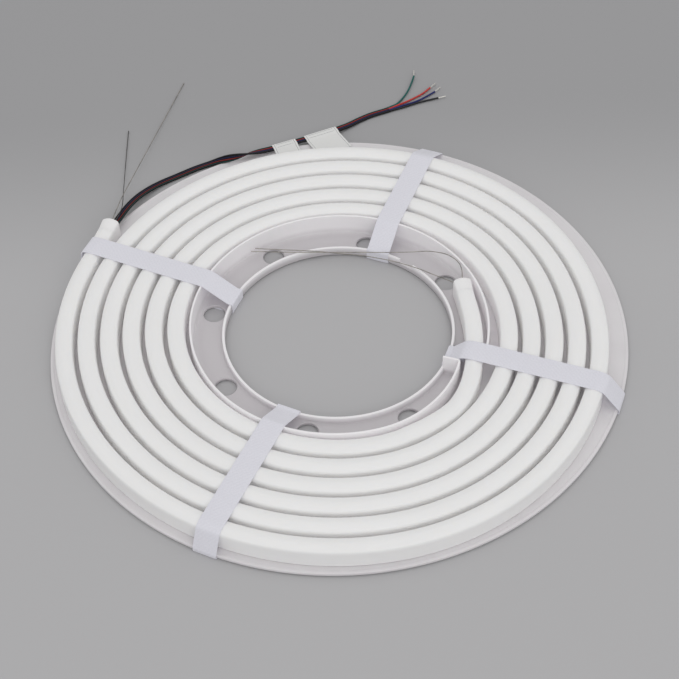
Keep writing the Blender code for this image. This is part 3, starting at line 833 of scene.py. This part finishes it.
def holes_tree():
    """Cut a ring of round holes with a small chamfer at their upper edge."""
    graph, given = new_tree("floor holes", {"Ring Radius": "Float", "Hole Radius": "Float",
                                            "Chamfer": "Float", "Floor": "Float",
                                            "First": "Float", "Count": "Int",
                                            "Finish": "Material"})
    radius, chamfer = given.other("Hole Radius"), given.other("Chamfer")
    shaft = graph.node("GeometryNodeMeshCylinder", None,
                       {"Vertices": 48, "Radius": radius, "Depth": 0.012})
    flare = graph.node("GeometryNodeMeshCone", None,
                       {"Vertices": 48, "Radius Top": radius + chamfer * 2.0,
                        "Radius Bottom": radius, "Depth": chamfer * 2.0})
    lift = graph.vector(0.0, 0.0, given.other("Floor") - chamfer)
    flare = graph.node("GeometryNodeTransform", None, {"Geometry": flare, "Translation": lift})
    spots = graph.node("GeometryNodeMeshCircle", None,
                       {"Vertices": given.other("Count"), "Radius": given.other("Ring Radius")})
    turn = graph.vector(0.0, 0.0, given.other("First"))
    spots = graph.node("GeometryNodeTransform", None, {"Geometry": spots, "Rotation": turn})
    body = given.other("Geometry")
    for cutter in (shaft, flare):
        ring_of = graph.node("GeometryNodeInstanceOnPoints", None,
                             {"Points": spots, "Instance": cutter})
        body = graph.node("GeometryNodeMeshBoolean",
                          {"operation": "DIFFERENCE", "solver": "MANIFOLD"},
                          {"Mesh 1": body, "Mesh 2": ring_of})
    return finish_tree(graph, body, given.other("Finish"))


notch_bm = bmesh.new()
bmesh.ops.create_cube(notch_bm, size=1.0)
turn = radians(NOTCH_AZ)
for vert in notch_bm.verts:
    x, y, z = (part * size for part, size in zip(vert.co, NOTCH_SIZE))
    vert.co = Vector((x * cos(turn) - y * sin(turn), x * sin(turn) + y * cos(turn), z)) * MM
    vert.co += polar(HOLE_R + 1.0, NOTCH_AZ, RIM_TOP) * MM
notch_mesh = bpy.data.meshes.new("rim_notch")
notch_bm.to_mesh(notch_mesh)
notch_bm.free()
notch = bpy.data.objects.new("rim_notch", notch_mesh)
bpy.context.scene.collection.objects.link(notch)

boolean(reel, hub_wall, "UNION")
boolean(reel, notch, "DIFFERENCE")
reel = grown(reel, holes_tree(), **{"Ring Radius": HOLE_RING_R * MM,
                                    "Hole Radius": FLOOR_HOLE_R * MM,
                                    "Chamfer": HOLE_CHAMFER * MM,
                                    "Floor": FLOOR_TOP * MM, "First": radians(FIRST_HOLE_AZ),
                                    "Count": HOLE_COUNT, "Finish": REEL_PLASTIC})
for tool in (hub_wall, notch):
    bpy.data.objects.remove(tool, do_unlink=True)
reel.data.shade_smooth()
reel.data.set_sharp_from_angle(angle=radians(30.0))
placed(reel, "reel", "reel")
print("reel faces", len(reel.data.polygons))

# %% [markdown]
# ## The tape loops
# Four soft tapes go over the coil, down through the middle and back under the reel. A tape
# is pulled tight over the crowns and sags very slightly between them. Each is one closed
# route in an upright plane. A route that runs straight up has no level direction to lean
# on, so the tree is told which way the tape's width lies.


# %% Tape tree
def tape_tree():
    graph, given = new_tree("tape", {"Section": "Object", "Width Way": "Vector",
                                     "Finish": "Material"})
    section = graph.node("GeometryNodeObjectInfo", None, {"Object": given.other("Section")},
                         output="Geometry")
    route = graph.node("GeometryNodeSetCurveNormal", {"mode": "FREE"},
                       {"Curve": given.other("Geometry"), "Normal": given.other("Width Way")})
    solid = marked_sweep(graph, route, section)
    return finish_tree(graph, solid, given.other("Finish"))


TAPE = tape_tree()

# %% Tape routes
STRAP_WIDTH = 16.0
STRAP_THICK = 0.6
SEAT_GAP = 0.3
STRAP_LIFT = SEAT_GAP + STRAP_THICK / 2
CROWN = STRIP_Z + STRIP_HEIGHT
SHOULDER = STRIP_Z + STRIP_CREASE
TAPE_SAG = 0.25


def turn_radii(az):
    first = ((COIL_START_AZ - az) % 360.0) / 360.0
    return [coil_radius(first + k) for k in range(6) if first + k < STRIP_END_TURNS + 0.06]


def tail_radius(az):
    for (az_a, inset_a), (az_b, inset_b) in zip(INNER_TAIL, INNER_TAIL[1:]):
        if az_b <= az <= az_a:
            return HUB_MID_R - inset_a - (inset_b - inset_a) * (az_a - az) / (az_a - az_b)


def strap(name, node, az, tail_r=None, lean=0.0):
    top = CROWN + STRAP_THICK / 2 + 0.05
    low = STRAP_THICK / 2
    turns = turn_radii(az)
    lip_out = FLANGE_R + STRAP_LIFT
    hole_in = sqrt(HOLE_R ** 2 - (STRAP_WIDTH / 2) ** 2) - STRAP_LIFT
    loop = [(hole_in, low), (hole_in, RIM_TOP + STRAP_LIFT),
            (HOLE_R + RIM_THICK + STRAP_LIFT, RIM_TOP + STRAP_LIFT)]
    bends = [1.0, 0.9, 0.9]
    if tail_r:
        loop += [(tail_r - STRIP_TOP_HALF - 2.4, SHOULDER + 0.5), (tail_r - 4.0, top - 0.3),
                 (tail_r, top + 0.05)]
        bends += [2.0, 2.0, 2.0]
    else:
        loop += [(HUB_MID_R - HUB_THICK / 2 - 0.5, top - 0.1)]
        bends += [1.6]
    for r in turns[:-1]:
        loop += [(r, top), (r + 7.45, top - TAPE_SAG)]
        bends += [3.6, 3.6]
    last = turns[-1]
    loop += [(last + 1.2, top), (last + STRIP_TOP_HALF * 0.62 + lean, top - 0.7),
             (last + STRIP_TOP_HALF + 0.6 + lean, SHOULDER + 0.2),
             (lip_out, FLOOR_TOP + LIP_RISE + 0.3), (lip_out, low)]
    bends += [2.0, 1.5, 1.8, 1.0, 0.9]
    way = polar(1.0, az)
    flat = rounded(loop, bends, 5)
    route = [way * r + Vector((0.0, 0.0, z)) for r, z in flat]
    half_w, half_t = STRAP_WIDTH / 2, STRAP_THICK / 2
    section = rounded([(-half_w, -half_t), (half_w, -half_t), (half_w, half_t),
                       (-half_w, half_t)], 0.26, 4)
    section_object = curve_object(name + "_section", section, closed=True)
    holder = curve_object(name, route, closed=True)
    for point in holder.data.splines[0].points:
        point.tilt = 0.0
    width_way = tuple(polar(1.0, az + 90.0))
    piece = grown(holder, TAPE, **{"Section": section_object, "Width Way": width_way,
                                   "Finish": STRAP_TAPE})
    bpy.data.objects.remove(section_object, do_unlink=True)
    return placed(soften(piece, 50.0), "strap", node)


for name, az, tail_r, lean in (("back", 67.0, None, 0.0), ("left", 155.0, None, 2.0),
                               ("front", 243.6, None, 0.0),
                               ("right", 338.6, tail_radius(-21.4), 1.1)):
    tape = strap("tape_" + name, "strap_" + name, az, tail_r, lean)
    print(tape.name, "faces", len(tape.data.polygons))

# %% [markdown]
# ## The lead
# Four cores bonded into a flat ribbon leave the outer cap, drop to the table, climb back
# onto the flange's edge with half a twist, pass through two labels and part at the end.
# The ribbon's section is four round cores that melt into each other, and its tilt runs from
# 0 to 180 degrees where it twists.

# %% Lead route
nose = strip_route[-1] + outer_dir * CAP_LENGTH
LEAD_EXIT = Vector((nose.x, nose.y, STRIP_Z + 5.4)) + outer_dir * SEAT_GAP
LEAD_ROUTE = [(-150.0, 124.3, 7.3), (-146.3, 132.4, 6.1), (-142.5, 139.3, 4.9),
              (-138.4, 145.3, 3.7), (-133.1, 151.5, 2.5), (-126.8, 157.1, 1.6),
              (-121.2, 161.0, 1.15), (-114.9, 164.7, 1.0), (-108.8, 168.2, 1.0),
              (-102.8, 171.6, 1.0), (-96.9, 174.4, 1.1), (-90.4, 176.7, 1.6),
              (-84.2, 177.4, 3.4), (-77.6, 176.6, 5.9), (-71.4, 177.7, 6.4),
              (-65.2, 179.2, 6.6), (-57.2, 181.9, 6.2), (-49.8, 184.5, 5.5),
              (-43.1, 187.0, 5.0)]
LABEL_LINE = [(-43.1, 187.0, 5.0), (-25.7, 193.8, 4.7), (-19.0, 196.5, 4.5), (5.2, 208.3, 2.6)]
LEAD_END = [(14.9, 214.4, 1.5), (23.6, 220.6, 1.0), (32.2, 225.4, 0.95), (42.9, 229.6, 0.95),
            (46.0, 231.0, 0.95)]
lead_route = through([LEAD_EXIT, LEAD_EXIT + outer_dir * 4.0] + LEAD_ROUTE, 3.0)
for a, b in zip(LABEL_LINE, LABEL_LINE[1:]):
    a, b = Vector(a), Vector(b)
    n = ceil((b - a).length / 4.0)
    lead_route += [a.lerp(b, (k + 1) / n) for k in range(n)]
lead_route += through([LABEL_LINE[-1]] + LEAD_END, 3.0)[1:]

TWIST_FROM, TWIST_TO = 101.0, 147.0
run, lead_tilts = 0.0, []
for i, p in enumerate(lead_route):
    run += (p - lead_route[i - 1]).length if i else 0.0
    lead_tilts.append(-180.0 + 180.0 * smooth((run - TWIST_FROM) / (TWIST_TO - TWIST_FROM)))


# %% Ribbon of four cores
def ribbon_section():
    """The outline of four touching circles, top side from right to left, then back."""
    r = CORE_D / 2 * 0.985
    top = []
    for k in range(4):
        centre = (1.5 - k) * CORE_D
        for step in range(9):
            angle = radians(18.0 + 18.0 * step)
            top.append((centre + r * cos(angle), r * sin(angle)))
    side = [(x, -z) for x, z in reversed(top)]
    return top + side


lead = swept("lead_ribbon", lead_route, ribbon_section(), RIBBON, tilts=lead_tilts, angle=50.0)
placed(lead, "lead", "lead")
lead_length = run_length(lead_route)
print("lead", round(lead_length), "mm")

# %% [markdown]
# ## Cores and their tinned ends
# Past the ribbon's end each core goes its own way. Its last few millimetres are stripped:
# seven thin strands with a slight lay, which a small tree makes from one straight line. The
# tree copies the line seven times and turns each copy round the first as a helix.

# %% Strand tree
TIP_D = 0.9


def strands_tree():
    graph, given = new_tree("strands", {"Strand Radius": "Float", "Turn Per Metre": "Float",
                                        "Finish": "Material"})
    line = graph.node("GeometryNodeResampleCurve", None,
                      {"Curve": given.other("Geometry"), "Count": 20})
    copies = graph.node("GeometryNodeDuplicateElements", {"domain": "SPLINE"},
                        {"Geometry": line, "Amount": 7})
    number = copies.other("Duplicate Index")
    length = graph.node("GeometryNodeSplineParameter", output="Length")
    angle = number * (2 * pi / 6) + length * given.other("Turn Per Metre")
    out = (number < 5.5) * given.other("Strand Radius") * 1.95
    normal = graph.node("GeometryNodeInputNormal")
    tangent = graph.node("GeometryNodeInputTangent")
    side = graph.node("ShaderNodeVectorMath", {"operation": "CROSS_PRODUCT"},
                      {0: tangent, 1: normal})
    reach = [graph.node("ShaderNodeVectorMath", {"operation": "SCALE"},
                        {0: way, "Scale": amount})
             for way, amount in ((normal, out * angle.cosine()), (side, out * angle.sine()))]
    offset = graph.node("ShaderNodeVectorMath", {"operation": "ADD"},
                        {0: reach[0], 1: reach[1]})
    helix = graph.node("GeometryNodeSetPosition", None, {"Geometry": copies, "Offset": offset})
    wire = graph.node("GeometryNodeCurvePrimitiveCircle", None,
                      {"Resolution": 8, "Radius": given.other("Strand Radius")})
    solid = marked_sweep(graph, helix, wire)
    return finish_tree(graph, solid, given.other("Finish"))


STRANDS = strands_tree()

# %% Cores
CORE_ROUTES = {
    "green": [(53.3, 238.2, 1.0), (60.1, 248.4, 1.2), (64.7, 259.8, 1.5), (67.4, 269.0, 1.8)],
    "red": [(54.2, 236.2, 1.0), (62.7, 241.0, 1.0), (72.5, 247.8, 1.1), (79.2, 254.6, 1.3)],
    "blue": [(57.0, 235.0, 1.0), (67.6, 239.3, 1.0), (76.2, 245.0, 1.0), (82.6, 249.8, 1.2)],
    "black": [(57.0, 232.6, 1.0), (66.4, 236.6, 1.0), (75.1, 239.6, 1.0), (84.6, 242.0, 1.2)],
}
CORE_TIPS = {"green": (67.9, 275.6, 2.0), "red": (83.6, 259.4, 1.5),
             "blue": (87.0, 254.6, 1.4), "black": (90.4, 243.4, 1.4)}
lead_dir = (lead_route[-1] - lead_route[-2]).normalized()
lead_across = Vector((-lead_dir.y, lead_dir.x, 0.0)).normalized()
for k, colour in enumerate(("green", "red", "blue", "black")):
    start = lead_route[-1] + lead_dir * 0.05 + lead_across * (1.5 - k) * (CORE_D + 0.12)
    core_route = through([start, start + lead_dir * 2.5] + CORE_ROUTES[colour], 2.0)
    core = swept("wire_" + colour, core_route, ring(CORE_D / 2, 14), CORES[colour], angle=60.0)
    placed(core, "core_" + colour, "core_" + colour)
    tip = Vector(CORE_TIPS[colour])
    toward = (tip - core_route[-1]).normalized()
    holder = curve_object("strands_" + colour, [core_route[-1] - toward * 0.8, tip])
    strands = grown(holder, STRANDS, **{"Strand Radius": TIP_D / 6 * MM,
                                        "Turn Per Metre": 420.0, "Finish": TINNED})
    placed(soften(strands, 60.0), "tinned", "tip_" + colour)
    tuple(lead_route[-1] * MM)
    run_length(core_route) * MM
    in_metres(core_route)
    print(core.name, round(run_length(core_route)), "mm")

# %% [markdown]
# ## Labels
# A label is a strip of film folded round the lead and stuck to itself, so that a double
# layer stands off as a flag. Its section is therefore one long path: out along the lower
# layer's edge, round the ribbon and back along the upper layer, with the film's thickness.


# %% Folded film
FILM_THICK = 0.16


def film_outline(path, thick):
    """Both sides of a path of points across the lead."""
    pts = [Vector(p) for p in path]
    sides = ([], [])
    for i, p in enumerate(pts):
        along = (pts[min(i + 1, len(pts) - 1)] - pts[max(i - 1, 0)]).normalized()
        for side, sign in zip(sides, (1, -1)):
            side.append((p.x + along.y * sign * thick / 2, p.y - along.x * sign * thick / 2))
    return sides[0] + sides[1][::-1]


def label(name, node, start, end, flag):
    """flag is the free part's line, as distances from the lead towards the coil and up."""
    start, end = Vector(start), Vector(end)
    wide, high = CORE_D * 2 + 0.34, CORE_D / 2 + 0.3
    lower = [(-x, z - FILM_THICK * 0.6) for x, z in reversed(flag)]
    upper = [(-x, z + FILM_THICK * 0.6) for x, z in flag]
    wrap = [(-wide, -high * 0.55), (-wide * 0.72, -high), (0.0, -high), (wide * 0.72, -high),
            (wide, -high * 0.45), (wide, high * 0.45), (wide * 0.72, high), (0.0, high),
            (-wide * 0.72, high), (-wide, high * 0.62)]
    path = [tuple(p)[:2] for p in through([(*p, 0.0) for p in lower + wrap + upper], 1.0)]
    length = (end - start).length
    count = ceil(length / 3.0)
    route = [start.lerp(end, k / count) for k in range(count + 1)]
    finish = label_film(name + "_film", length)
    piece = swept(name, route, film_outline(path, FILM_THICK), finish, angle=60.0)
    return placed(piece, "label", node)


SMALL_FLAG = [(4.2, 0.0), (6.0, -0.3), (9.4, -0.6)]
LARGE_FLAG = [(4.4, 0.1), (8.0, 0.4), (14.5, 1.0), (19.0, 1.3), (23.8, 1.5)]
labels = [label("small_label", "cable_label_small", LABEL_LINE[0], LABEL_LINE[1], SMALL_FLAG),
          label("flag_label", "cable_label_flag", LABEL_LINE[2], LABEL_LINE[3], LARGE_FLAG)]
tuple(LEAD_EXIT * MM)
in_metres(lead_route)

# %% [markdown]
# ## Stiff wires
# Two thin steel wires come out of each cap. They are springy, so they stay in long bows and
# aren't laid down by their weight. A real one is never quite straight, so a small tree
# resamples the route and wanders off it by a few hundredths of a millimetre.


# %% Wire tree
def wire_tree():
    graph, given = new_tree("springy wire", {"Radius": "Float", "Wander": "Float",
                                             "Seed": "Float", "Finish": "Material"})
    line = graph.node("GeometryNodeResampleCurve", {"mode": "LENGTH"},
                      {"Curve": given.other("Geometry"), "Length": 2.0 * MM})
    place = graph.node("GeometryNodeInputPosition")
    noise = graph.node("ShaderNodeTexNoise", {"noise_dimensions": "4D"},
                       {"Vector": place, "W": given.other("Seed"), "Scale": 90.0,
                        "Detail": 1.0}, output="Color")
    centred = graph.node("ShaderNodeVectorMath", {"operation": "SUBTRACT"},
                         {0: noise, 1: (0.5, 0.5, 0.5)})
    factor = graph.node("GeometryNodeSplineParameter", output="Factor")
    free = factor.rising(0.0, 0.1)
    offset = graph.node("ShaderNodeVectorMath", {"operation": "SCALE"},
                        {0: centred, "Scale": free * given.other("Wander")})
    bowed = graph.node("GeometryNodeSetPosition", None, {"Geometry": line, "Offset": offset})
    wire = graph.node("GeometryNodeCurvePrimitiveCircle", None,
                      {"Resolution": 10, "Radius": given.other("Radius")})
    solid = marked_sweep(graph, bowed, wire)
    return finish_tree(graph, solid, given.other("Finish"))


WIRE = wire_tree()

# %% Wires
WIRE_D = 0.6
WIRE_WANDER = 0.12
outer_face = nose + outer_dir * SEAT_GAP
inner_face = strip_route[0] + inner_dir * (CAP_LENGTH + SEAT_GAP)
outer_side = Vector((outer_dir.y, -outer_dir.x, 0.0))
inner_side = Vector((inner_dir.y, -inner_dir.x, 0.0))
WIRES = {
    "outer_wire_1": [outer_face + outer_side * 0.6 + Vector((0.0, 0.0, 8.2)),
                     (-152.3, 124.0, 9.4), (-152.8, 148.2, 5.0), (-153.5, 184.8, 1.6),
                     (-153.6, 219.1, 0.5)],
    "outer_wire_2": [outer_face - outer_side * 1.6 + Vector((0.0, 0.0, 8.4)),
                     (-152.9, 134.8, 9.5), (-144.6, 167.7, 5.5), (-129.4, 220.5, 2.0),
                     (-113.0, 273.8, 0.6)],
    "inner_wire_1": [inner_face + inner_side * 0.8 + Vector((0.0, 0.0, 8.6)),
                     (86.0, 42.6, 16.0), (83.8, 48.4, 17.2), (80.4, 53.2, 16.8),
                     (76.4, 57.9, 15.5), (70.5, 61.6, 14.0), (64.0, 64.4, 12.5),
                     (50.8, 65.8, 11.0), (35.5, 67.0, 10.4), (17.4, 69.0, 9.6),
                     (0.0, 70.6, 8.9), (-31.5, 72.3, 9.2), (-58.8, 74.4, 9.6)],
    "inner_wire_2": [inner_face - inner_side * 1.2 + Vector((0.0, 0.0, 7.4)),
                     (67.9, 43.4, 10.0), (54.8, 52.7, 8.8), (37.9, 58.7, 10.6),
                     (18.7, 65.6, 9.6), (3.4, 69.9, 8.2), (-13.3, 73.2, 8.2),
                     (-34.9, 75.5, 8.6), (-55.9, 77.7, 9.0)],
}
for seed, (node, points) in enumerate(WIRES.items()):
    wire_route = through(points, 4.0)
    holder = curve_object("spring_" + node, wire_route)
    # the first wire takes the darker copy of the steel, which is painted shade
    piece = grown(holder, WIRE, **{"Radius": WIRE_D / 2 * MM, "Wander": WIRE_WANDER * MM,
                                   "Seed": float(seed),
                                   "Finish": STEEL_PAINTED_SHADE if seed == 0 else STEEL})
    placed(soften(piece, 60.0), "wire", node)
    tuple(wire_route[0] * MM)
    run_length(wire_route) * MM
    in_metres(wire_route)
    print(piece.name, round(run_length(wire_route)), "mm")

# %% [markdown]
# ## Floor and light
# The roll lies on a plain grey table in even white light from all round, with a weak soft box
# above it and a stronger one in front. Painted shade takes the table from a paler grey in
# front to a darker one behind. Light that is caught between two pale turns bounces many times
# before it comes out, so the count of diffuse bounces is raised, or the gaps would be too dark.


# %% Floor
def floor_finish():
    finish = Finish("table", (0.5, 0.5, 0.5), 0.75, Specular_IOR_Level=0.2)
    place = finish.place()
    back = finish.node("ShaderNodeSeparateXYZ", None, {"Vector": place}, output="Y")
    cloud = finish.noise(place, 3.0, 2.0) * 0.06
    # painted shade: the table darkens towards the back, and the cloud adds a faint uneven tone
    share = back.rising(0.04, 0.25) + cloud - 0.03
    colour = finish.mixed(share, (0.51, 0.506, 0.514), (0.39, 0.388, 0.396))
    finish.feed("Base Color", colour)
    return finish.material


TABLE_HALF = 3.0
floor_bm = bmesh.new()
bmesh.ops.create_grid(floor_bm, x_segments=8, y_segments=8, size=TABLE_HALF)
floor_mesh = bpy.data.meshes.new("table")
floor_bm.to_mesh(floor_mesh)
floor_bm.free()
floor_mesh.materials.append(floor_finish())
table = bpy.data.objects.new("table", floor_mesh)
bpy.context.scene.collection.objects.link(table)
print("table", 2 * TABLE_HALF, "m wide")


# %% Lights
def soft_light(name, place, target, size, watts):
    data = bpy.data.lights.new(name, "AREA")
    data.shape = "RECTANGLE"
    data.size, data.size_y = size
    data.energy = watts
    light = bpy.data.objects.new(name, data)
    light.location = place
    light.rotation_euler = (Vector(target) - Vector(place)).to_track_quat("-Z", "Y").to_euler()
    bpy.context.scene.collection.objects.link(light)


SURROUND = 0.61
DIFFUSE_BOUNCES = 12
soft_light("overhead", (0.0, 0.4, 1.8), (0.0, 0.05, 0.0), (2.0, 1.6), 4.2)
soft_light("front_softbox", (0.4, -2.4, 1.7), (0.0, 0.0, 0.0), (2.6, 2.0), 16.0)
world = bpy.data.worlds.new("studio")
world.use_nodes = True
background = world.node_tree.nodes["Background"]
background.inputs["Color"].default_value = (1.0, 1.0, 1.0, 1.0)
background.inputs["Strength"].default_value = SURROUND
bpy.context.scene.world = world
bpy.context.scene.view_settings.view_transform = "Standard"
bpy.context.scene.cycles.diffuse_bounces = DIFFUSE_BOUNCES
print("lights:", len(bpy.data.lights), "and a surround of strength", SURROUND)
